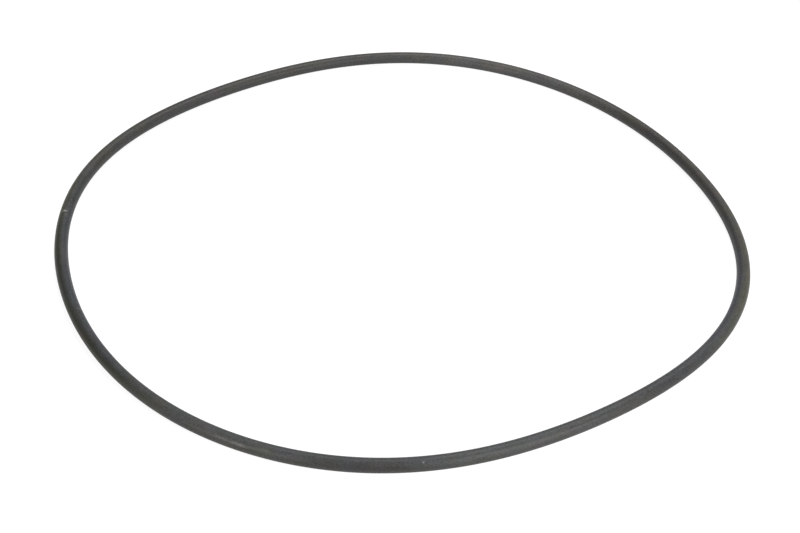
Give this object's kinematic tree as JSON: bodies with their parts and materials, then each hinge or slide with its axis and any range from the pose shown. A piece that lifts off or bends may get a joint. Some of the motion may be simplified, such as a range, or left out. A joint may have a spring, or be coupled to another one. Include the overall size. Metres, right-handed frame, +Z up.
{
  "type": "o-ring oil seal",
  "caption": "Large thin black rubber O-ring that seals oil at a hub, cover or housing joint, lying loose and a little out of round on a flat surface.",
  "frame": {"origin": "the middle of the loose ring's outline, on the surface that the ring lies on", "axes": "+Z up, square to the plane of the ring; +X to the right and +Y away from a viewer who has the ring's nearer long side in front"},
  "size_m": [0.186, 0.1866, 0.0035],
  "materials": {
    "rubber": "matte moulded"
  },
  "bodies": {
    "root": {"o_ring": "rubber"}
  },
  "joints": []
}
